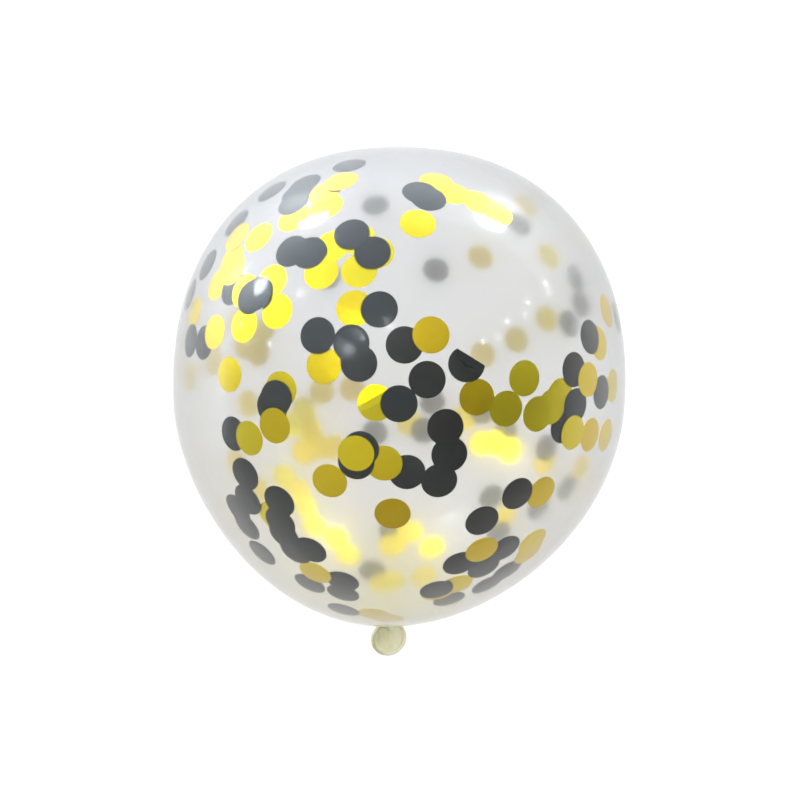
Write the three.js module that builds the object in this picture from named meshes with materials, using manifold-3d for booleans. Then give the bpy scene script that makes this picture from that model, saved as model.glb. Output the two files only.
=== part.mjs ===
// A clear latex party balloon, blown up and knotted, lying on its side.
// Millimetres, +Z up. The balloon's length runs along Y, with its crown towards +Y and its neck
// towards -Y. The origin is the middle of the small flat spot that it rests on.
import * as THREE from "three";
import { mergeVertices } from "three/addons/utils/BufferGeometryUtils.js";
import Module from "manifold-3d";

const wasm = await Module();
wasm.setup();

// The blown-up globe
const GLOBE_RADIUS = 145; // at its widest circle
const CROWN_HEIGHT = 158; // from the widest circle to the crown
const LOWER_DEPTH = 154.5; // from the widest circle to where the globe's curve would close
const CROWN_FULLNESS = 2.28; // 2 is a true ellipse, and more is fuller in the shoulders
const LOWER_FULLNESS = 1.82; // under 2 tapers towards the neck
const SIDE_LEAN = 9; // how far the neck end is pulled to -X
const FLAT_DEPTH = 2; // how much of the underside is pressed flat
const GLOBE_SIDES = 72;
const CROWN_STEPS = 15;
const LOWER_STEPS = 15;

// The neck, where the stretched globe gathers into slack rubber
const GATHER_RADIUS = 27; // the globe's curve leaves for the neck here
const NECK_RADIUS = 4.2;
const NECK_LENGTH = 3.5; // past LOWER_DEPTH
const NECK_STEPS = 9;
const PLEATS = 9;
const PLEAT_DEPTH = 0.12; // as a share of the neck's radius

// The overhand knot
const STRAND_RADIUS = 2.3;
const KNOT_RADIUS = 2.7; // of the strand's middle line
const KNOT_LENGTH = 2.6; // half of its length along the neck
const KNOT_SWING = 0.55; // how far the strand wanders in and out, as a share of KNOT_RADIUS
const KNOT_STEPS = 42;
const STRAND_SIDES = 8;

// The tail past the knot: a stem that bends up, then a slack cup that ends in a rolled lip
const TAIL_STEM = 3.5; // straight out of the knot
const TAIL_BEND = 5; // radius of its middle line
const TAIL_TURN = (80 * Math.PI) / 180; // from -Y towards +Z
const TAIL_CUP = 8; // straight again, up to the middle of the lip
const STEM_RADIUS = 3.2;
const MOUTH_RADIUS = 11.1; // to the middle of the rolled lip
const LIP_RADIUS = 1.25;
const SKIN = 0.45; // the slack rubber's wall
const CUP_STARTS = 6; // how far along the middle line the stem begins to widen
const TAIL_SHIFT = 4.5; // the mouth sits this far to +X of the knot
const TAIL_SIDES = 36;
const LIP_STEPS = 8;
const CUP_STEPS = 8;

// Where things are
const AXIS_HEIGHT = GLOBE_RADIUS - FLAT_DEPTH;
const POLE_Y = -LOWER_DEPTH - NECK_LENGTH; // the neck's end, at the knot
const KNOT_Y = POLE_Y - KNOT_LENGTH;
const TAIL_LENGTH = TAIL_STEM + TAIL_BEND * TAIL_TURN + TAIL_CUP;

// A closed geometry as a solid. Only the places of its corners count, and the faces that close up
// to nothing at the ends of a lathe are dropped.
function solidOf(geometry) {
  const bare = geometry.index ? geometry.toNonIndexed() : geometry.clone();
  bare.deleteAttribute("normal");
  bare.deleteAttribute("uv");
  const merged = mergeVertices(bare, 1e-4);
  const corners = merged.index.array;
  const kept = [];
  for (let i = 0; i < corners.length; i += 3) {
    const [a, b, c] = corners.slice(i, i + 3);
    if (a !== b && b !== c && c !== a) kept.push(a, b, c);
  }
  return new wasm.Manifold(
    new wasm.Mesh({
      numProp: 3,
      vertProperties: merged.attributes.position.array,
      triVerts: new Uint32Array(kept),
    }),
  );
}

function geometryOf(solid) {
  const mesh = solid.getMesh();
  const geometry = new THREE.BufferGeometry();
  geometry.setAttribute("position", new THREE.BufferAttribute(mesh.vertProperties, 3));
  geometry.setIndex(new THREE.BufferAttribute(mesh.triVerts, 1));
  geometry.computeVertexNormals();
  return geometry;
}

// Moves every corner of a geometry by a function that changes the vector it is given.
function reshape(geometry, move) {
  const places = geometry.getAttribute("position");
  const corner = new THREE.Vector3();
  for (let i = 0; i < places.count; i++) {
    corner.fromBufferAttribute(places, i);
    move(corner);
    places.setXYZ(i, corner.x, corner.y, corner.z);
  }
  return geometry;
}

// The point at an angle on one half of the globe's outline. The angle is 0 at the widest circle and
// a right angle at the pole.
function onOutline(angle, depth, fullness) {
  return new THREE.Vector2(
    GLOBE_RADIUS * Math.pow(Math.cos(angle), 2 / fullness),
    depth * Math.pow(Math.sin(angle), 2 / fullness),
  );
}

// The angle at which the lower outline has narrowed to a radius.
function lowerAngle(radius) {
  return Math.acos(Math.pow(radius / GLOBE_RADIUS, LOWER_FULLNESS / 2));
}

// The outline from the neck's end up to the crown.
function globeOutline() {
  const points = [new THREE.Vector2(0, POLE_Y - STRAND_RADIUS)];
  const last = lowerAngle(GATHER_RADIUS);
  const leaves = onOutline(last, -LOWER_DEPTH, LOWER_FULLNESS);
  const before = onOutline(last - 0.01, -LOWER_DEPTH, LOWER_FULLNESS);
  const slope = (leaves.y - before.y) / (leaves.x - before.x);
  const bend = new THREE.Vector2(NECK_RADIUS, leaves.y - slope * (GATHER_RADIUS - NECK_RADIUS));
  const neckEnd = new THREE.Vector2(NECK_RADIUS, POLE_Y);
  const neck = new THREE.QuadraticBezierCurve(neckEnd, bend, leaves);
  points.push(new THREE.Vector2(NECK_RADIUS, POLE_Y - STRAND_RADIUS));
  points.push(...neck.getPoints(NECK_STEPS).slice(0, -1));
  for (let i = 0; i < LOWER_STEPS; i++) {
    points.push(onOutline(last * (1 - i / LOWER_STEPS), -LOWER_DEPTH, LOWER_FULLNESS));
  }
  for (let i = 0; i < CROWN_STEPS; i++) {
    points.push(onOutline((Math.PI / 2) * (i / CROWN_STEPS), CROWN_HEIGHT, CROWN_FULLNESS));
  }
  points.push(new THREE.Vector2(0, CROWN_HEIGHT));
  return points;
}

// How far the middle line has moved to -X at a place along the length.
function leanAt(y) {
  const share = Math.max(0, -y / LOWER_DEPTH);
  return SIDE_LEAN * Math.min(1, share ** 3);
}

// The globe with its gathered neck. The pleats fade out where the rubber is stretched tight.
function globe() {
  const turned = new THREE.LatheGeometry(globeOutline(), GLOBE_SIDES);
  const fade = GATHER_RADIUS - NECK_RADIUS;
  return reshape(turned, (p) => {
    const radius = Math.hypot(p.x, p.z);
    if (p.y < 0 && radius > 0 && radius < GATHER_RADIUS) {
      const slack = (GATHER_RADIUS - Math.max(radius, NECK_RADIUS)) / fade;
      const turn = Math.atan2(p.z, p.x);
      const swell = 1 + PLEAT_DEPTH * slack ** 2 * Math.cos(PLEATS * turn);
      p.x *= swell;
      p.z *= swell;
    }
    p.x -= leanAt(p.y);
  });
}

// The strand of an overhand knot, a trefoil drawn out along the neck.
class KnotCurve extends THREE.Curve {
  getPoint(t, target = new THREE.Vector3()) {
    const turn = 2 * Math.PI * t;
    const out = KNOT_RADIUS * (1 + KNOT_SWING * Math.cos(3 * turn));
    return target.set(
      out * Math.cos(2 * turn),
      KNOT_LENGTH * Math.sin(3 * turn),
      out * Math.sin(2 * turn),
    );
  }
}

// A round section swept along a closed curve. An extrusion's caps would leave a closed ring open,
// so the ring of sections is made by bending a torus onto the curve.
function closedStrand(curve) {
  const ring = new THREE.TorusGeometry(1, STRAND_RADIUS, STRAND_SIDES, KNOT_STEPS);
  const frames = curve.computeFrenetFrames(KNOT_STEPS, true);
  const places = ring.getAttribute("position");
  const across = KNOT_STEPS + 1;
  for (let side = 0; side <= STRAND_SIDES; side++) {
    const turn = (2 * Math.PI * side) / STRAND_SIDES;
    for (let step = 0; step < across; step++) {
      const at = step % KNOT_STEPS;
      const middle = curve.getPointAt(at / KNOT_STEPS);
      const corner = middle
        .addScaledVector(frames.normals[at], STRAND_RADIUS * Math.cos(turn))
        .addScaledVector(frames.binormals[at], STRAND_RADIUS * Math.sin(turn));
      places.setXYZ(side * across + step, corner.x, corner.y, corner.z);
    }
  }
  return ring;
}

// The knot is pulled tight, so a plain core fills the space between its turns.
function knot() {
  const strand = solidOf(turnedRound(closedStrand(new KnotCurve())));
  const core = new THREE.SphereGeometry(KNOT_RADIUS + STRAND_RADIUS / 2, STRAND_SIDES, STRAND_SIDES);
  return strand.add(solidOf(core)).translate([-SIDE_LEAN, KNOT_Y, AXIS_HEIGHT]);
}

// The same surface with its faces looking the other way.
function turnedRound(geometry) {
  const corners = geometry.index.array;
  for (let i = 0; i < corners.length; i += 3) {
    [corners[i + 1], corners[i + 2]] = [corners[i + 2], corners[i + 1]];
  }
  return geometry;
}

// How wide the tail is at a place along its middle line.
function tailRadius(along) {
  const share = Math.max(0, (along - CUP_STARTS) / (TAIL_LENGTH - CUP_STARTS));
  return STEM_RADIUS + ((MOUTH_RADIUS - STEM_RADIUS) * (1 - Math.cos(Math.PI * share))) / 2;
}

// The tail's outline: down the outside from the lip and back up the inside of the cup.
function tailOutline() {
  const inside = [new THREE.Vector2(0, CUP_STARTS)];
  const outside = [new THREE.Vector2(0, 0), new THREE.Vector2(STEM_RADIUS + SKIN / 2, 0)];
  for (let i = 0; i < CUP_STEPS; i++) {
    const along = CUP_STARTS + ((TAIL_LENGTH - CUP_STARTS) * i) / CUP_STEPS;
    inside.push(new THREE.Vector2(tailRadius(along) - SKIN / 2, along));
    outside.push(new THREE.Vector2(tailRadius(along) + SKIN / 2, along));
  }
  const lip = [];
  for (let i = 0; i <= LIP_STEPS; i++) {
    const turn = Math.PI * ((1.3 * i) / LIP_STEPS - 0.15);
    const out = MOUTH_RADIUS + LIP_RADIUS * Math.cos(turn);
    lip.push(new THREE.Vector2(out, TAIL_LENGTH + LIP_RADIUS * Math.sin(turn)));
  }
  return [...outside, ...lip, ...inside.reverse()];
}

// The tail, made straight up +Y, then pleated, turned over about X to point along -Y, and bent up
// towards +Z.
function tail() {
  const straight = new THREE.LatheGeometry(tailOutline(), TAIL_SIDES);
  const bent = reshape(straight, (p) => {
    const along = p.y;
    const share = Math.min(1, along / TAIL_LENGTH);
    const swell = 1 + PLEAT_DEPTH * (1 - share) * Math.cos(PLEATS * Math.atan2(p.z, p.x));
    const turn = THREE.MathUtils.clamp((along - TAIL_STEM) / TAIL_BEND, 0, TAIL_TURN);
    const straightPart = along - TAIL_STEM - turn * TAIL_BEND;
    const aside = p.x * swell;
    const above = -p.z * swell;
    const out = TAIL_STEM + TAIL_BEND * Math.sin(turn) + straightPart * Math.cos(turn);
    const up = TAIL_BEND * (1 - Math.cos(turn)) + straightPart * Math.sin(turn);
    p.set(
      aside - SIDE_LEAN + TAIL_SHIFT * share,
      KNOT_Y - out + above * Math.sin(turn),
      AXIS_HEIGHT + up + above * Math.cos(turn),
    );
  });
  return solidOf(bent);
}

// Everything below the floor, to press the underside flat.
function belowFloor() {
  const size = 4 * GLOBE_RADIUS;
  return solidOf(new THREE.BoxGeometry(size, size, size)).translate([0, 0, -size / 2]);
}

function balloon() {
  const blown = solidOf(globe()).translate([0, 0, AXIS_HEIGHT]);
  const whole = blown.add(knot()).add(tail()).subtract(belowFloor());
  const latex = new THREE.MeshStandardMaterial({
    color: 0xe9e8e0,
    roughness: 0.12,
    metalness: 0,
    transparent: true,
    opacity: 0.3,
  });
  const mesh = new THREE.Mesh(geometryOf(whole), latex);
  mesh.name = "balloon";
  return mesh;
}

const part = new THREE.Group();
part.add(balloon());
export default part;
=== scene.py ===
# A clear latex party balloon full of gold and black foil discs, lying on its side on a pale table.
# Metres, +Z up. The balloon's length runs along Y, with its crown towards +Y and its neck towards -Y.
import math
import random

import bmesh
import bpy
from mathutils import Matrix, Vector


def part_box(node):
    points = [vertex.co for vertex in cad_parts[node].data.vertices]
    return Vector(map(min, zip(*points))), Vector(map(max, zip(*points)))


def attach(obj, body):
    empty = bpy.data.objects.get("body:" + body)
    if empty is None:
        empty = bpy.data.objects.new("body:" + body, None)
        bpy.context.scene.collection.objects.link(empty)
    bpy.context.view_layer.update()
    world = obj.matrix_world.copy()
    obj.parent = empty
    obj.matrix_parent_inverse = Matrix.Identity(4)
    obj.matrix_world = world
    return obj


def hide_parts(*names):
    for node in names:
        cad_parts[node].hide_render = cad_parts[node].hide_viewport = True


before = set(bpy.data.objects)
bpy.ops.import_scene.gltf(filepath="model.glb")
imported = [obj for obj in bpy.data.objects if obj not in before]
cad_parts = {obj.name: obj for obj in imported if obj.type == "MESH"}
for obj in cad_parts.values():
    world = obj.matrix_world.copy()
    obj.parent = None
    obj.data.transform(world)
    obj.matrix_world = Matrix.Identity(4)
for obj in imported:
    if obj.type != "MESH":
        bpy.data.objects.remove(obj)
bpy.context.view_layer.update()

MM = 0.001

# ---------------------------------------------------------------- the blown-up globe

BALLOON_LOW, BALLOON_HIGH = (Vector(corner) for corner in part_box("balloon"))
GLOBE_RADIUS = (BALLOON_HIGH.x - BALLOON_LOW.x) / 2  # at its widest circle
CROWN_HEIGHT = BALLOON_HIGH.y  # from the widest circle to the crown
AXIS_HEIGHT = BALLOON_HIGH.z - GLOBE_RADIUS  # the flat spot takes the rest of the radius
LOWER_DEPTH = 154.5 * MM  # from the widest circle to where the globe's curve would close
CROWN_FULLNESS = 2.28  # 2 is a true ellipse, and more is fuller in the shoulders
LOWER_FULLNESS = 1.82  # under 2 tapers towards the neck
SIDE_LEAN = 9 * MM  # how far the neck end is pulled to -X
MIDDLE = Vector((0, 0, AXIS_HEIGHT))

# The neck, the knot and the tail
GATHER_RADIUS = 27 * MM  # the globe's curve leaves for the neck here
NECK_RADIUS = 4.2 * MM
NECK_END = -LOWER_DEPTH - 3.5 * MM
STRAND_RADIUS = 2.3 * MM
KNOT_RADIUS = 2.7 * MM  # of the strand's middle line
KNOT_LENGTH = 2.6 * MM  # half of its length along the neck
KNOT_SWING = 0.55
KNOT_Y = NECK_END - KNOT_LENGTH
KNOT_MIDDLE = Vector((-SIDE_LEAN, KNOT_Y, AXIS_HEIGHT))
TAIL_STEM = 3.5 * MM  # straight out of the knot
TAIL_BEND = 5 * MM  # radius of its middle line
TAIL_TURN = math.radians(94)  # from -Y towards +Z
TAIL_CUP = 8 * MM  # straight again, up to the middle of the lip
TAIL_LENGTH = TAIL_STEM + TAIL_BEND * TAIL_TURN + TAIL_CUP
TAIL_SHIFT = 1.5 * MM  # the mouth sits this far to +X of the knot
TAIL_TWIST = math.radians(14)  # and it looks this far to +X
STEM_RADIUS = 3.2 * MM
MOUTH_RADIUS = 11.1 * MM  # to the middle of the rolled lip
LIP_RADIUS = 1.25 * MM
SLACK_SKIN = 0.45 * MM
CUP_STARTS = 6 * MM
PLEATS_END = GATHER_RADIUS * 1.5  # the neck's folds have died out at this radius
NECK_PLEATS = 0.14  # depth of the neck's folds, as a share of its radius
STEM_PLEATS = 0.16
TABLE_GAP = 0.05 * MM

# The film and the foil
FILM = 0.3 * MM
DISC_RADIUS = 10 * MM
FOIL = 0.12 * MM
LAYER = 0.28 * MM  # from one disc to the one that lies behind it
FOIL_GAP = 0.15 * MM  # from the film to the first disc
DISC_SIDES = 24
DISC_RING = 0.45  # share of the radius outside a disc's inner ring
RIM_ANGLE = math.radians(40)  # edges sharper than this stay crisp
FOLD_RETURN = 1.96  # how far folded foil comes back: 2 would lay it flat
FOLD_GAP = 0.06 * MM  # between a disc and the part folded over it
FOLD_LIFT = 0.03  # how steeply that part rises

GLOBE_SIDES = 192
TAIL_SIDES = 96
STRAND_STEPS = 90
KNOT_VOXEL = 0.3 * MM
RANDOM = random.Random(12)


def film_distance(along):
    """How far the film is from the globe's middle, in a direction at an angle from the widest circle."""
    depth, fullness = (CROWN_HEIGHT, CROWN_FULLNESS) if along >= 0 else (LOWER_DEPTH, LOWER_FULLNESS)
    across = (math.cos(along) / GLOBE_RADIUS) ** fullness
    return (across + (abs(math.sin(along)) / depth) ** fullness) ** (-1 / fullness)


def lean_at(y):
    """How far the middle line has moved to -X."""
    return SIDE_LEAN * min(1, max(0, -y / LOWER_DEPTH) ** 3)


def on_film(round_degrees, along_degrees):
    """A place on the film: degrees round from the top, and degrees along from the widest circle."""
    turn, along = math.radians(round_degrees), math.radians(along_degrees)
    distance = film_distance(along)
    out = distance * math.cos(along)
    y = distance * math.sin(along)
    return MIDDLE + Vector((out * math.sin(turn) - lean_at(y), y, out * math.cos(turn)))


def out_of_film(round_degrees, along_degrees):
    """The film's outward direction there, and the direction along it towards the crown."""
    step = 0.05
    round_way = on_film(round_degrees + step, along_degrees) - on_film(round_degrees - step, along_degrees)
    crown_way = on_film(round_degrees, along_degrees + step) - on_film(round_degrees, along_degrees - step)
    return round_way.cross(crown_way).normalized(), crown_way.normalized()


def onto_film(point):
    """The place on the film straight out from the globe's middle through a point near it."""
    reach = point - MIDDLE
    reach.x += lean_at(reach.y)
    return on_film(
        math.degrees(math.atan2(reach.x, reach.z)), math.degrees(math.asin(reach.y / reach.length)),
    )


# ---------------------------------------------------------------- making and finishing pieces

def finished(name, bm, material):
    """A mesh as a piece of the balloon, smooth all over."""
    mesh = bpy.data.meshes.new(name)
    for face in bm.faces:
        face.smooth = True
    bm.to_mesh(mesh)
    bm.free()
    piece = bpy.data.objects.new(name, mesh)
    bpy.context.scene.collection.objects.link(piece)
    mesh.materials.append(material)
    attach(piece, "root")
    return piece


def chain(bm, points):
    """Vertices joined by edges, to be spun or extruded."""
    verts = [bm.verts.new(point) for point in points]
    edges = [bm.edges.new(pair) for pair in zip(verts, verts[1:])]
    return verts + edges


def spun(points, sides):
    """An outline in X and Y turned round the Y axis, with its poles and its seam closed."""
    bm = bmesh.new()
    bmesh.ops.spin(
        bm, geom=chain(bm, points), cent=(0, 0, 0), axis=(0, 1, 0),
        angle=math.tau, steps=sides, use_merge=True,
    )
    bmesh.ops.remove_doubles(bm, verts=bm.verts, dist=1e-6)
    bmesh.ops.recalc_face_normals(bm, faces=bm.faces)
    return bm


# ---------------------------------------------------------------- materials

def new_material(name):
    """A material with its nodes, its links and its shader."""
    material = bpy.data.materials.new(name)
    material.use_nodes = True
    nodes = material.node_tree.nodes
    return material, nodes, material.node_tree.links, nodes["Principled BSDF"]


def add(nodes, kind, **inputs):
    """A node with some of its inputs set. Underscores stand for the spaces in their names."""
    node = nodes.new(kind)
    for name, value in inputs.items():
        node.inputs[name.replace("_", " ")].default_value = value
    return node


def colour_ramp(nodes, *stops):
    """A ramp through colours at places from 0 to 1."""
    ramp = nodes.new("ShaderNodeValToRGB")
    while len(ramp.color_ramp.elements) < len(stops):
        ramp.color_ramp.elements.new(0.5)
    for element, (place, colour) in zip(ramp.color_ramp.elements, stops):
        element.position = place
        element.color = (*colour, 1)
    return ramp


CLEAR = (0.845, 0.845, 0.845)
CLEAR_ROUGHNESS = 0.10  # of most of the film
MILKY_ROUGHNESS = 0.38  # of the fine grit in it
MILKY_SHARE = 0.25
YELLOWISH = (0.84, 0.79, 0.50)
FILM_TINTS = [(0, YELLOWISH), (0.12, (0.83, 0.82, 0.70)), (0.45, (0.825, 0.81, 0.775)), (1, CLEAR)]
TINTS_START, TINTS_END = 8 * MM, 210 * MM  # from the knot
SLACK_TINTS = [(0.3, (0.86, 0.81, 0.48)), (0.7, (0.93, 0.92, 0.78))]
GOLD_SHADES = [(0.85, 0.55, 0.0), (0.95, 0.72, 0.0), (0.98, 0.86, 0.004)]
BLACK_SHADES = [
    (0.030, 0.024, 0.020), (0.026, 0.028, 0.024), (0.020, 0.027, 0.026), (0.036, 0.040, 0.034),
]
GRAIN = (11, 34, 1)  # finer one way, as on rolled foil
GRAIN_SHARE = 0.9  # of the shades that the grain runs through
WAVE_HEIGHT, GRAIN_HEIGHT = 0.35 * MM, 0.05 * MM


def clear_latex():
    """Stretched film. It turns yellowish where the rubber thickens near the neck."""
    material, nodes, links, shader = new_material("clear_latex")
    place = nodes.new("ShaderNodeTexCoord")
    far = add(nodes, "ShaderNodeVectorMath")
    far.operation = "DISTANCE"
    far.inputs[1].default_value = KNOT_MIDDLE
    links.new(place.outputs["Object"], far.inputs[0])
    reach = add(nodes, "ShaderNodeMapRange", From_Min=TINTS_START, From_Max=TINTS_END)
    links.new(far.outputs["Value"], reach.inputs["Value"])
    ramp = colour_ramp(nodes, *FILM_TINTS)
    links.new(reach.outputs["Result"], ramp.inputs["Fac"])
    links.new(ramp.outputs["Color"], shader.inputs["Base Color"])
    grit = nodes.new("ShaderNodeTexWhiteNoise")
    links.new(place.outputs["Object"], grit.inputs["Vector"])
    milky = nodes.new("ShaderNodeMath")
    milky.operation = "LESS_THAN"
    milky.inputs[1].default_value = MILKY_SHARE
    links.new(grit.outputs["Value"], milky.inputs[0])
    rough = add(nodes, "ShaderNodeMapRange", To_Min=CLEAR_ROUGHNESS, To_Max=MILKY_ROUGHNESS)
    links.new(milky.outputs["Value"], rough.inputs["Value"])
    links.new(rough.outputs["Result"], shader.inputs["Roughness"])
    shader.inputs["Transmission Weight"].default_value = 1
    shader.inputs["IOR"].default_value = 1.4
    shader.inputs["Specular Tint"].default_value = (0.5, 0.5, 0.5, 1)
    return material


def neck_latex():
    """Slack rubber: thick, yellowish and only half see-through."""
    material, nodes, links, shader = new_material("neck_latex")
    place = nodes.new("ShaderNodeTexCoord")
    mottle = add(nodes, "ShaderNodeTexNoise", Scale=260, Detail=3)
    links.new(place.outputs["Object"], mottle.inputs["Vector"])
    ramp = colour_ramp(nodes, *SLACK_TINTS)
    links.new(mottle.outputs["Fac"], ramp.inputs["Fac"])
    links.new(ramp.outputs["Color"], shader.inputs["Base Color"])
    shader.inputs["Transmission Weight"].default_value = 0.6
    shader.inputs["Roughness"].default_value = 0.3
    shader.inputs["IOR"].default_value = 1.5
    return material


def foil(name, shades, metallic, roughness, gloss):
    """Rolled foil that has gone a little wavy, with a fine grain. Each disc has its own shade."""
    material, nodes, links, shader = new_material(name)
    uv = add(nodes, "ShaderNodeUVMap")
    uv.uv_map = "disc"
    waves = add(nodes, "ShaderNodeTexNoise", Scale=1.7, Detail=1)
    links.new(uv.outputs["UV"], waves.inputs["Vector"])
    stretch = add(nodes, "ShaderNodeMapping", Scale=GRAIN)
    links.new(uv.outputs["UV"], stretch.inputs["Vector"])
    grain = add(nodes, "ShaderNodeTexNoise", Scale=1, Detail=2, Roughness=0.6)
    links.new(stretch.outputs["Vector"], grain.inputs["Vector"])
    shade = nodes.new("ShaderNodeAttribute")
    shade.attribute_name = "shade"
    blend = add(nodes, "ShaderNodeMath")
    blend.operation = "MULTIPLY_ADD"
    blend.inputs[1].default_value = GRAIN_SHARE
    links.new(grain.outputs["Fac"], blend.inputs[0])
    links.new(shade.outputs["Fac"], blend.inputs[2])
    last = len(shades) - 1
    ramp = colour_ramp(nodes, *((0.15 + 0.7 * i / last, colour) for i, colour in enumerate(shades)))
    links.new(blend.outputs["Value"], ramp.inputs["Fac"])
    links.new(ramp.outputs["Color"], shader.inputs["Base Color"])
    wavy = add(nodes, "ShaderNodeBump", Strength=1, Distance=WAVE_HEIGHT)
    links.new(waves.outputs["Fac"], wavy.inputs["Height"])
    grainy = add(nodes, "ShaderNodeBump", Strength=1, Distance=GRAIN_HEIGHT)
    links.new(grain.outputs["Fac"], grainy.inputs["Height"])
    links.new(wavy.outputs["Normal"], grainy.inputs["Normal"])
    links.new(grainy.outputs["Normal"], shader.inputs["Normal"])
    shader.inputs["Metallic"].default_value = metallic
    shader.inputs["Roughness"].default_value = roughness
    shader.inputs["Specular IOR Level"].default_value = gloss
    return material


# ---------------------------------------------------------------- the latex

def outline_point(angle, depth, fullness):
    """A point of the globe's outline. The angle is 0 at the widest circle and a right angle at the pole."""
    out = GLOBE_RADIUS * max(0, math.cos(angle)) ** (2 / fullness)
    return Vector((out, depth * math.sin(angle) ** (2 / fullness), 0))


def globe_outline(lower_steps=70, crown_steps=90, neck_steps=26):
    """From the middle of the neck's end, out along the neck and the globe, to the crown."""
    last = math.acos((GATHER_RADIUS / GLOBE_RADIUS) ** (LOWER_FULLNESS / 2))
    leaves = outline_point(last, -LOWER_DEPTH, LOWER_FULLNESS)
    before = outline_point(last - 0.01, -LOWER_DEPTH, LOWER_FULLNESS)
    slope = (leaves.y - before.y) / (leaves.x - before.x)
    bend = Vector((NECK_RADIUS, leaves.y - slope * (GATHER_RADIUS - NECK_RADIUS), 0))
    neck_end = Vector((NECK_RADIUS, NECK_END, 0))
    points = [Vector((0, KNOT_Y, 0)), Vector((NECK_RADIUS * 0.7, KNOT_Y, 0))]
    for i in range(neck_steps):
        t = i / neck_steps
        points.append(neck_end * (1 - t) ** 2 + bend * 2 * t * (1 - t) + leaves * t ** 2)
    for i in range(lower_steps):
        points.append(outline_point(last * (1 - i / lower_steps), -LOWER_DEPTH, LOWER_FULLNESS))
    for i in range(crown_steps):
        angle = math.pi / 2 * i / crown_steps
        points.append(outline_point(angle, CROWN_HEIGHT, CROWN_FULLNESS))
    points.append(Vector((0, CROWN_HEIGHT, 0)))
    return points


def pleat(turn):
    """How far a fold stands out at an angle round the neck, from -1 to 1. The folds are uneven."""
    return (
        0.55 * math.cos(9 * turn)
        + 0.30 * math.cos(14 * turn + 1.3)
        + 0.15 * math.cos(23 * turn + 4.0)
    )


def balloon_film(material):
    """The film with its gathered neck, pressed flat where it rests."""
    bm = spun(globe_outline(), GLOBE_SIDES)
    fade = PLEATS_END - NECK_RADIUS
    for vert in bm.verts:
        p = vert.co
        radius = math.hypot(p.x, p.z)
        if p.y < 0 and 0 < radius < PLEATS_END:
            slack = (PLEATS_END - max(radius, NECK_RADIUS)) / fade
            swell = 1 + NECK_PLEATS * slack ** 3 * pleat(math.atan2(p.z, p.x))
            p.x *= swell
            p.z *= swell
        p.x -= lean_at(p.y)
        p.z += AXIS_HEIGHT
        p.z = max(p.z, TABLE_GAP)
    piece = finished("balloon_film", bm, material)
    wall = piece.modifiers.new("wall", "SOLIDIFY")
    wall.thickness = FILM
    wall.offset = -1
    piece.visible_shadow = False
    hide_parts("balloon")


def knot_point(share):
    """The middle line of the knot's strand: a trefoil drawn out along the neck."""
    turn = math.tau * share
    out = KNOT_RADIUS * (1 + KNOT_SWING * math.cos(3 * turn))
    return KNOT_MIDDLE + Vector(
        (out * math.cos(2 * turn), KNOT_LENGTH * math.sin(3 * turn), out * math.sin(2 * turn))
    )


def knot(material):
    """The overhand knot: a closed strand and its core, fused as pulled rubber is."""
    curve = bpy.data.curves.new("knot_strand", "CURVE")
    curve.dimensions = "3D"
    curve.bevel_depth = STRAND_RADIUS
    curve.bevel_resolution = 6
    spline = curve.splines.new("POLY")
    spline.points.add(STRAND_STEPS - 1)
    spline.use_cyclic_u = True
    for i, point in enumerate(spline.points):
        point.co = (*knot_point(i / STRAND_STEPS), 1)
    strand = bpy.data.objects.new("knot_strand", curve)
    bpy.context.scene.collection.objects.link(strand)
    bpy.context.view_layer.update()
    bm = bmesh.new()
    bm.from_mesh(strand.evaluated_get(bpy.context.evaluated_depsgraph_get()).to_mesh())
    bpy.data.objects.remove(strand)
    core = bmesh.ops.create_icosphere(bm, subdivisions=3, radius=KNOT_RADIUS + STRAND_RADIUS / 2)
    bmesh.ops.translate(bm, verts=core["verts"], vec=KNOT_MIDDLE)
    piece = finished("knot", bm, material)
    fuse = piece.modifiers.new("fuse", "REMESH")
    fuse.mode = "VOXEL"
    fuse.voxel_size = KNOT_VOXEL
    fuse.use_smooth_shade = True
    soften = piece.modifiers.new("soften", "SMOOTH")
    soften.factor = 0.6
    soften.iterations = 5
    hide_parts("balloon")


def tail_radius(along):
    """The tail's radius at a distance from the knot: a stem that opens into a cup."""
    share = max(0, (along - CUP_STARTS) / (TAIL_LENGTH - CUP_STARTS))
    return STEM_RADIUS + (MOUTH_RADIUS - STEM_RADIUS) * (1 - math.cos(math.pi * share)) / 2


def tail_outline(steps=26, lip_steps=18):
    """Down the outside from the stem, round the rolled lip and back up the inside of the cup."""
    inside = [Vector((0, CUP_STARTS, 0))]
    outside = [Vector((0, 0, 0)), Vector((STEM_RADIUS + SLACK_SKIN / 2, 0, 0))]
    for i in range(steps):
        along = CUP_STARTS + (TAIL_LENGTH - CUP_STARTS) * i / steps
        inside.append(Vector((tail_radius(along) - SLACK_SKIN / 2, along, 0)))
        outside.append(Vector((tail_radius(along) + SLACK_SKIN / 2, along, 0)))
    lip = []
    for i in range(lip_steps + 1):
        turn = math.pi * (1.3 * i / lip_steps - 0.15)
        lip.append(Vector((MOUTH_RADIUS + LIP_RADIUS * math.cos(turn),
                           TAIL_LENGTH + LIP_RADIUS * math.sin(turn), 0)))
    return outside + lip + inside[::-1]


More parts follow.
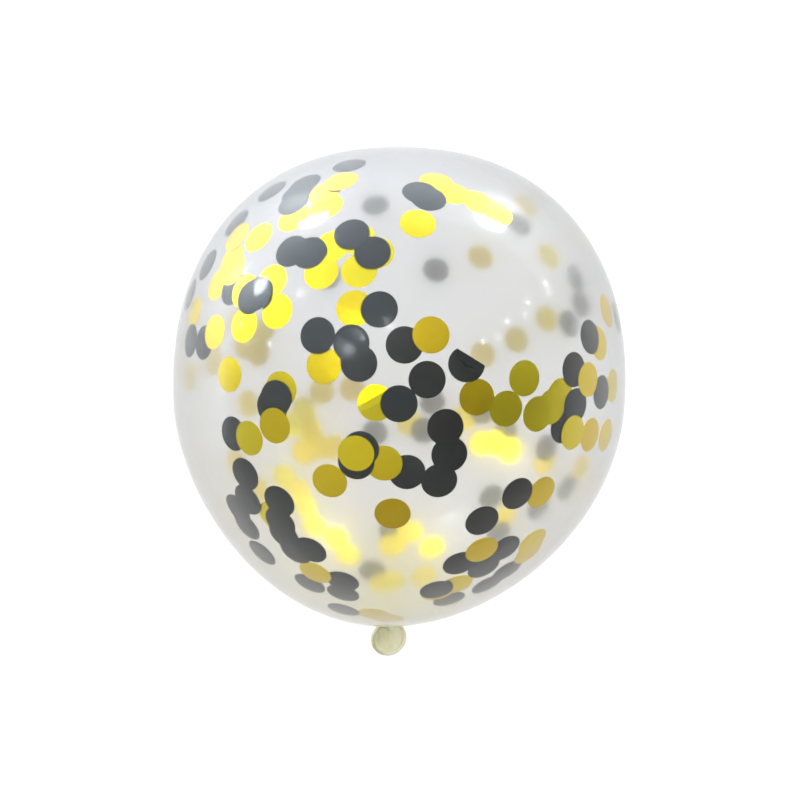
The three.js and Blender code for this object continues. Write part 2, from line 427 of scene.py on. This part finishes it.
def bent_tail(point):
    """Where a point of the straight tail goes when its middle line bends from -Y up towards +Z."""
    along = point.y
    share = min(1, along / TAIL_LENGTH)
    around = math.atan2(point.z, point.x)
    swell = 1 + STEM_PLEATS * (1 - share) ** 1.2 * pleat(around)
    turn = min(max((along - TAIL_STEM) / TAIL_BEND, 0), TAIL_TURN)
    straight = along - TAIL_STEM - turn * TAIL_BEND
    aside, above = point.x * swell, -point.z * swell
    out = TAIL_STEM + TAIL_BEND * math.sin(turn) + straight * math.cos(turn)
    up = TAIL_BEND * (1 - math.cos(turn)) + straight * math.sin(turn)
    bent = Vector((aside, above * math.sin(turn) - out, up + above * math.cos(turn)))
    bent.rotate(Matrix.Rotation(TAIL_TWIST * share, 3, "Y"))
    return KNOT_MIDDLE + bent + Vector((TAIL_SHIFT * share, 0, 0))


def tail(material):
    """The slack mouth of the balloon, bent up out of the knot."""
    bm = spun(tail_outline(), TAIL_SIDES)
    for vert in bm.verts:
        vert.co = bent_tail(vert.co)
    bmesh.ops.recalc_face_normals(bm, faces=bm.faces)
    piece = finished("tail", bm, material)
    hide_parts("balloon")


# ---------------------------------------------------------------- the confetti

# Where the discs cling to the inside of the film: "b" for black and "g" for gold, degrees round from the
# top, and degrees along from the widest circle. In each drift, a disc lies over those named after it.
DRIFTS = {
    "high_left": [
        ("b", -35, 70), ("b", -47, 61), ("b", -46, 58), ("b", -43, 55), ("g", -29, 63), ("g", -33, 59),
        ("b", -63, 57), ("g", -28, 55), ("g", -38, 51), ("g", -47, 45), ("g", -58, 44), ("g", -54, 39),
        ("g", -51, 37), ("b", -66, 47), ("b", -67, 36), ("b", -72, 28),
    ],
    "left_shoulder": [
        ("b", -38, 33), ("b", -40, 32), ("g", -43, 33), ("b", -48, 33), ("g", -35, 36), ("g", -31, 30),
        ("g", -40, 26), ("g", -56, 33), ("g", -50, 23), ("b", -54, 20), ("b", -62, 19), ("g", -64, 25),
        ("g", -42, 15),
    ],
    "top_middle": [
        ("b", -26, 43), ("b", -32, 43), ("b", -15, 48), ("b", -8, 44), ("g", -13, 47), ("g", -7, 44),
        ("g", -11, 40), ("g", -21, 39), ("g", -20, 45),
    ],
    "upper_middle": [
        ("b", -5, 32), ("g", -11, 32), ("b", -19, 26), ("b", -11, 25), ("b", -9, 21), ("g", -17, 20),
        ("g", 7, 27), ("b", 1, 25), ("b", 6, 18), ("b", 0, 13), ("g", -5, 13),
    ],
    "high_right": [
        ("b", 7, 60), ("b", 10, 58), ("g", 16, 64), ("g", 21, 60), ("g", 30, 57), ("g", 35, 54), ("g", 5, 51),
    ],
    "right_chain": [
        ("b", 15, 21), ("g", 17, 14), ("g", 24, 11), ("g", 29, 17), ("g", 32, 9), ("g", 36, 10),
        ("g", 49, 14), ("b", 44, 17), ("g", 43, 3), ("b", 44, 9), ("g", 39, 12), ("b", 40, 5),
        ("g", 50, 1), ("g", 58, -1), ("b", 55, 10), ("g", 62, 10),
    ],
    "right_limb": [("b", 52, 23), ("g", 56, 21), ("g", 65, 27), ("b", 74, 24)],
    "middle": [
        ("b", 10, 8), ("b", 11, 2), ("b", 9, -4), ("g", -9, 2), ("b", -8, 3), ("b", -9, 0),
        ("g", -3, 0), ("b", 2, -2), ("g", -15, -5), ("g", -1, -12),
    ],
    "left_middle": [
        ("g", -28, 6), ("b", -28, 12), ("b", -29, 10), ("g", -27, 14), ("g", -35, 2), ("b", -40, 2),
    ],
    "low_left": [
        ("b", -37, -7), ("b", -38, -14), ("b", -43, -18), ("b", -42, -23), ("b", -40, -31),
        ("b", -28, -12), ("b", -29, -18), ("b", -22, -25), ("b", -29, -22), ("b", -27, -27),
        ("g", -31, -17), ("g", -23, -34), ("b", -15, -36), ("b", -27, -40), ("b", -16, -42),
        ("b", -18, -51), ("g", -6, -52), ("g", 0, -56),
    ],
    "low_right": [
        ("b", 28, -9), ("g", 35, -10), ("b", 20, -15), ("g", 22, -24), ("b", 17, -28), ("b", 29, -25),
        ("b", 25, -31), ("g", 38, -25), ("g", 39, -29), ("b", 35, -35), ("b", 31, -40), ("b", 13, -38),
        ("g", 19, -37), ("g", 14, -40), ("b", 20, -45),
    ],
    "underneath_crown_side": [
        ("b", 190, 45), ("b", 203, 22), ("b", 169, 24), ("g", 154, 29), ("b", 136, 41), ("g", 127, 48),
        ("g", 127, 32), ("g", 143, 5), ("g", 132, 13), ("g", 154, -1), ("b", 123, 13), ("b", 117, 27),
        ("b", 116, 20),
    ],
    "underneath_left": [
        ("g", 231, 4), ("g", 226, 1), ("g", 224, 8), ("g", 234, 12), ("g", 259, 1), ("g", 245, 2),
        ("g", 232, -13), ("g", 205, -13), ("g", 212, -18), ("g", 195, -13), ("g", 211, -24),
        ("g", 217, -22), ("g", 215, -31), ("g", 209, -30), ("g", 203, -31), ("b", 188, -27),
        ("g", 226, -37), ("g", 222, -42), ("g", 222, -47), ("g", 222, -54), ("g", 240, -38), ("g", 245, -28),
    ],
    "underneath_right": [
        ("b", 169, -17), ("g", 158, -21), ("g", 176, -24), ("b", 171, -26), ("b", 152, -18),
        ("b", 142, -23), ("g", 150, -28), ("g", 145, -27), ("g", 138, -28), ("g", 122, -28), ("b", 124, -24),
        ("g", 103, -24), ("b", 137, -43), ("b", 104, -31), ("g", 125, -47), ("b", 121, -52), ("b", 112, -40),
    ],
    "underneath_neck_side": [
        ("g", 209, -66), ("g", 213, -60), ("b", 193, -73), ("g", 183, -78), ("b", 179, -59), ("g", 178, -64),
        ("g", 169, -59), ("g", 152, -63), ("g", 142, -73), ("g", 172, -77),
    ],
}
# Discs that aren't flat, by their places: the way a crease faces, how far out it is, and what the part
# beyond it does: turns back over the disc, or tips towards the film by an angle.
CREASES = {
    (15, 21): [("tip", 195, 0.1, 14), ("fold", 57, 0.42)],
    (-5, 13): [("tip", 122, 0.30, 16), ("tip", 300, 0.05, 9)],
    (1, 25): [("tip", 20, 0.5, 4)],
    (24, 11): [("tip", 200, 0.2, 5)],
    (-11, 32): [("tip", 250, 0.1, 6)],
}


def placed_discs():
    """Each disc with the number of layers between it and the film."""
    discs = []
    for places in DRIFTS.values():
        for letter, round_degrees, along_degrees in places:
            middle = on_film(round_degrees, along_degrees)
            above = [d["layer"] for d in discs if (d["middle"] - middle).length < 2 * DISC_RADIUS]
            discs.append({
                "gold": letter == "g",
                "place": (round_degrees, along_degrees),
                "middle": middle,
                "layer": max(above, default=-1) + 1,
            })
    return discs


def crease_way(facing):
    """The direction in which a crease faces, in the disc's own plane."""
    turn = math.radians(facing)
    return Vector((math.cos(turn), math.sin(turn), 0))


def crease_disc(verts, crease):
    """Folds one disc back over itself, or tips the part of it beyond a line."""
    kind, facing, reach, *angle = crease
    way = crease_way(facing)
    for vert in verts:
        beyond = vert.co.dot(way) - reach * DISC_RADIUS
        if beyond > 0 and kind == "fold":
            vert.co -= way * beyond * FOLD_RETURN
            vert.co.z = FOIL + FOLD_GAP + (FOIL - vert.co.z) + beyond * FOLD_LIFT
        elif beyond > 0:
            vert.co.z -= beyond * math.tan(math.radians(angle[0]))


def add_disc(bm, disc):
    """One disc of foil, bent to the film, as a thin closed body with a map of its own."""
    out, crown_way = out_of_film(*disc["place"])
    side_way = crown_way.cross(out)
    depth = FILM + FOIL_GAP + disc["layer"] * LAYER
    turn = Matrix.Rotation(RANDOM.uniform(0, math.tau), 2)
    patch = Vector((RANDOM.uniform(0, 60), RANDOM.uniform(0, 60)))
    shade = RANDOM.uniform(-0.15, 0.3)
    shade_layer = bm.faces.layers.float.get("shade") or bm.faces.layers.float.new("shade")
    uv_layer = bm.loops.layers.uv.get("disc") or bm.loops.layers.uv.new("disc")
    rim = bmesh.ops.create_circle(bm, cap_ends=True, segments=DISC_SIDES, radius=DISC_RADIUS)["verts"]
    face = rim[0].link_faces[0]
    ring = bmesh.ops.inset_individual(bm, faces=[face], thickness=DISC_RADIUS * DISC_RING)["faces"]
    body = bmesh.ops.extrude_face_region(bm, geom=[face, *ring])["geom"]
    top = [part for part in body if isinstance(part, bmesh.types.BMVert)]
    bmesh.ops.translate(bm, verts=top, vec=(0, 0, FOIL))
    faces = list({f for v in top + rim for f in v.link_faces} | {face, *ring})
    bmesh.ops.recalc_face_normals(bm, faces=faces)
    geom = faces + list({e for f in faces for e in f.edges}) + list({v for f in faces for v in f.verts})
    for edge in {e for v in top + rim for e in v.link_edges}:
        edge.smooth = edge.calc_face_angle(0) < RIM_ANGLE
    creases = CREASES.get(disc["place"], [])
    for _, facing, reach, *_ in creases:
        way = crease_way(facing)
        cut = bmesh.ops.bisect_plane(bm, geom=geom, plane_co=way * reach * DISC_RADIUS, plane_no=way)
        geom = cut["geom"]
        for part in cut["geom_cut"]:
            if isinstance(part, bmesh.types.BMEdge):
                part.smooth = False
    for f in (part for part in geom if isinstance(part, bmesh.types.BMFace)):
        f[shade_layer] = shade
        for loop in f.loops:
            loop[uv_layer].uv = turn @ loop.vert.co.xy / (2 * DISC_RADIUS) + patch
    verts = [part for part in geom if isinstance(part, bmesh.types.BMVert)]
    for crease in creases:
        crease_disc(verts, crease)
    for vert in verts:
        x, y, z = vert.co
        vert.co = onto_film(disc["middle"] + side_way * x + crown_way * y) + out * (z - depth)


def confetti(name, gold, discs, material):
    """All the discs of one colour, as one piece."""
    bm = bmesh.new()
    for disc in discs:
        if disc["gold"] == gold:
            add_disc(bm, disc)
    return finished(name, bm, material)


# ---------------------------------------------------------------- the table, the light and the camera

TABLE_REACH = 6  # from its middle to its sides
TABLE_GLOW = 1.95
GLOW_TINTS = [(0, (0.5, 0.5, 0.5)), (1, (1.0, 1.1, 1.25))]
GLOW_WAY = (-0.35, 0.94, 0)  # the table is brighter beyond the crown
GLOW_STARTS, GLOW_ENDS = 0.12, 0.6
CAMERA_TIP = math.radians(15)  # towards the crown
CAMERA_DISTANCE = 0.77
CAMERA_ROLL = math.radians(0.95)
CAMERA_LENS = 53
CAMERA_SHIFT = (0.0011, -0.0072)


def table():
    """A pale table top that glows a little, so that it looks white."""
    bm = bmesh.new()
    bmesh.ops.create_grid(bm, x_segments=8, y_segments=8, size=TABLE_REACH)
    mesh = bpy.data.meshes.new("table_top")
    bm.to_mesh(mesh)
    bm.free()
    top = bpy.data.objects.new("table_top", mesh)
    bpy.context.scene.collection.objects.link(top)
    material, nodes, links, shader = new_material("table_white")
    shader.inputs["Base Color"].default_value = (0.12, 0.12, 0.12, 1)
    shader.inputs["Roughness"].default_value = 0.9
    shader.inputs["Specular IOR Level"].default_value = 0.1
    place = nodes.new("ShaderNodeTexCoord")
    crown_way = nodes.new("ShaderNodeVectorMath")
    crown_way.operation = "DOT_PRODUCT"
    crown_way.inputs[1].default_value = GLOW_WAY
    links.new(place.outputs["Object"], crown_way.inputs[0])
    beyond = add(nodes, "ShaderNodeMapRange", From_Min=GLOW_STARTS, From_Max=GLOW_ENDS)
    beyond.interpolation_type = "SMOOTHSTEP"
    links.new(crown_way.outputs["Value"], beyond.inputs["Value"])
    ramp = colour_ramp(nodes, *GLOW_TINTS)
    links.new(beyond.outputs["Result"], ramp.inputs["Fac"])
    links.new(ramp.outputs["Color"], shader.inputs["Emission Color"])
    shader.inputs["Emission Strength"].default_value = TABLE_GLOW
    mesh.materials.append(material)


def soft_lamp(name, bearing, height, distance, size, radiance, colour):
    """A round soft lamp that faces the balloon. The bearing is in degrees from +Y towards +X, and the
    height is in degrees above the globe's middle."""
    bearing, height = math.radians(bearing), math.radians(height)
    way = Vector((
        math.sin(bearing) * math.cos(height), math.cos(bearing) * math.cos(height), math.sin(height),
    ))
    light = bpy.data.lights.new(name, "AREA")
    light.shape = "DISK"
    light.size = size
    light.energy = radiance * math.pi * math.pi * (size / 2) ** 2
    light.color = colour
    lamp = bpy.data.objects.new(name, light)
    lamp.location = MIDDLE + way * distance
    lamp.rotation_euler = way.to_track_quat("Z", "Y").to_euler()
    lamp.visible_camera = False
    bpy.context.scene.collection.objects.link(lamp)


SKY_SHADE = (0.82, 0.84, 0.84)
# Patches of the studio's walls and ceiling: direction, the dots at the patch's edge and heart, and colour
SKY = [
    ((-0.5, 0.85, 0.15), 0.45, 1.0, (1.15, 1.32, 1.6)),
    ((0.0, -0.74, 0.67), 0.75, 1.0, (0.52, 0.52, 0.48)),
    ((-0.93, -0.2, 0.35), 0.85, 1.0, (0.45, 0.45, 0.42)),
    ((0.76, -0.02, 0.64), 0.72, 0.97, (0.20, 0.20, 0.19)),
    ((0.0, 0.15, 0.98), 0.93, 1.0, (0.55, 0.56, 0.56)),
]
COOL = (0.88, 0.95, 1.0)
# Stands of soft lamps round the table: their bearings from the crown's way and the heights of the lamps on
# them, in degrees, then how far off they stand, the size of a lamp and its radiance
STANDS = [
    ((-30, 30), (-7,), 1.0, 0.20, 42),  # two broad lamps, low beyond the crown
    ((-60,), (5,), 1.3, 0.16, 50),  # a broad lamp at the left
    ((60,), (0, 15, 30, 45), 1.5, 0.04, 100),  # a column of small lamps at the right
    ((-75,), (5, 25), 1.3, 0.035, 70),  # two small lamps at the left
    ((-50,), (25, 60), 1.5, 0.13, 14),  # two weak broad lamps, one above the other, at the left
    ((-35, -10), (60,), 1.6, 0.05, 60),  # two small lamps overhead
]


def studio():
    """A pale studio that is brighter on the crown's side, with stands of soft lamps round the balloon."""
    world = bpy.data.worlds.new("studio")
    bpy.context.scene.world = world
    world.use_nodes = True
    nodes, links = world.node_tree.nodes, world.node_tree.links
    background = nodes["Background"]
    way = nodes.new("ShaderNodeTexCoord")
    colour = None
    for direction, edge, heart, shade in SKY:
        facing = nodes.new("ShaderNodeVectorMath")
        facing.operation = "DOT_PRODUCT"
        facing.inputs[1].default_value = Vector(direction).normalized()
        links.new(way.outputs["Generated"], facing.inputs[0])
        reach = add(nodes, "ShaderNodeMapRange", From_Min=edge, From_Max=heart)
        reach.interpolation_type = "SMOOTHSTEP"
        links.new(facing.outputs["Value"], reach.inputs["Value"])
        mix = nodes.new("ShaderNodeMix")
        mix.data_type = "RGBA"
        links.new(reach.outputs["Result"], mix.inputs["Factor"])
        if colour:
            links.new(colour, mix.inputs[6])
        else:
            mix.inputs[6].default_value = (*SKY_SHADE, 1)
        mix.inputs[7].default_value = (*shade, 1)
        colour = mix.outputs[2]
    links.new(colour, background.inputs["Color"])
    background.inputs["Strength"].default_value = 1
    lamps = [
        (bearing, height, *lamp)
        for bearings, heights, *lamp in STANDS
        for bearing in bearings
        for height in heights
    ]
    for i, lamp in enumerate(lamps):
        soft_lamp(f"lamp_{i}", *lamp, COOL)


def camera():
    """Looks down on the lying balloon, tipped a little towards its crown."""
    back = Vector((0, math.sin(CAMERA_TIP), math.cos(CAMERA_TIP)))
    up = Vector((0, math.cos(CAMERA_TIP), -math.sin(CAMERA_TIP)))
    side = up.cross(back)
    data = bpy.data.cameras.new("camera")
    data.sensor_width = 36
    data.lens = CAMERA_LENS
    data.shift_x, data.shift_y = CAMERA_SHIFT
    view = bpy.data.objects.new("camera", data)
    turned = Matrix((side, up, back)).transposed().to_4x4()
    roll = Matrix.Rotation(CAMERA_ROLL, 4, "Z")
    view.matrix_world = Matrix.Translation(MIDDLE + back * CAMERA_DISTANCE) @ turned @ roll
    bpy.context.scene.collection.objects.link(view)
    bpy.context.scene.camera = view


def picture_settings():
    """Enough bounces for light to cross the film, the foil and the film again."""
    scene = bpy.context.scene
    scene.view_settings.view_transform = "Standard"
    scene.cycles.max_bounces = 24
    scene.cycles.transmission_bounces = 20
    scene.cycles.glossy_bounces = 6
    scene.cycles.diffuse_bounces = 4
    scene.cycles.caustics_reflective = True
    scene.cycles.caustics_refractive = True
    scene.cycles.sample_clamp_indirect = 8
    scene.cycles.use_denoising = True


camera()
table()
studio()
picture_settings()
slack = neck_latex()
balloon_film(clear_latex())
knot(slack)
tail(slack)
all_discs = placed_discs()
gold = foil("gold_foil", GOLD_SHADES, metallic=1, roughness=0.32, gloss=0.5)
confetti("gold_confetti", True, all_discs, gold)
black = foil("black_foil", BLACK_SHADES, metallic=0, roughness=0.4, gloss=0.3)
confetti("black_confetti", False, all_discs, black)
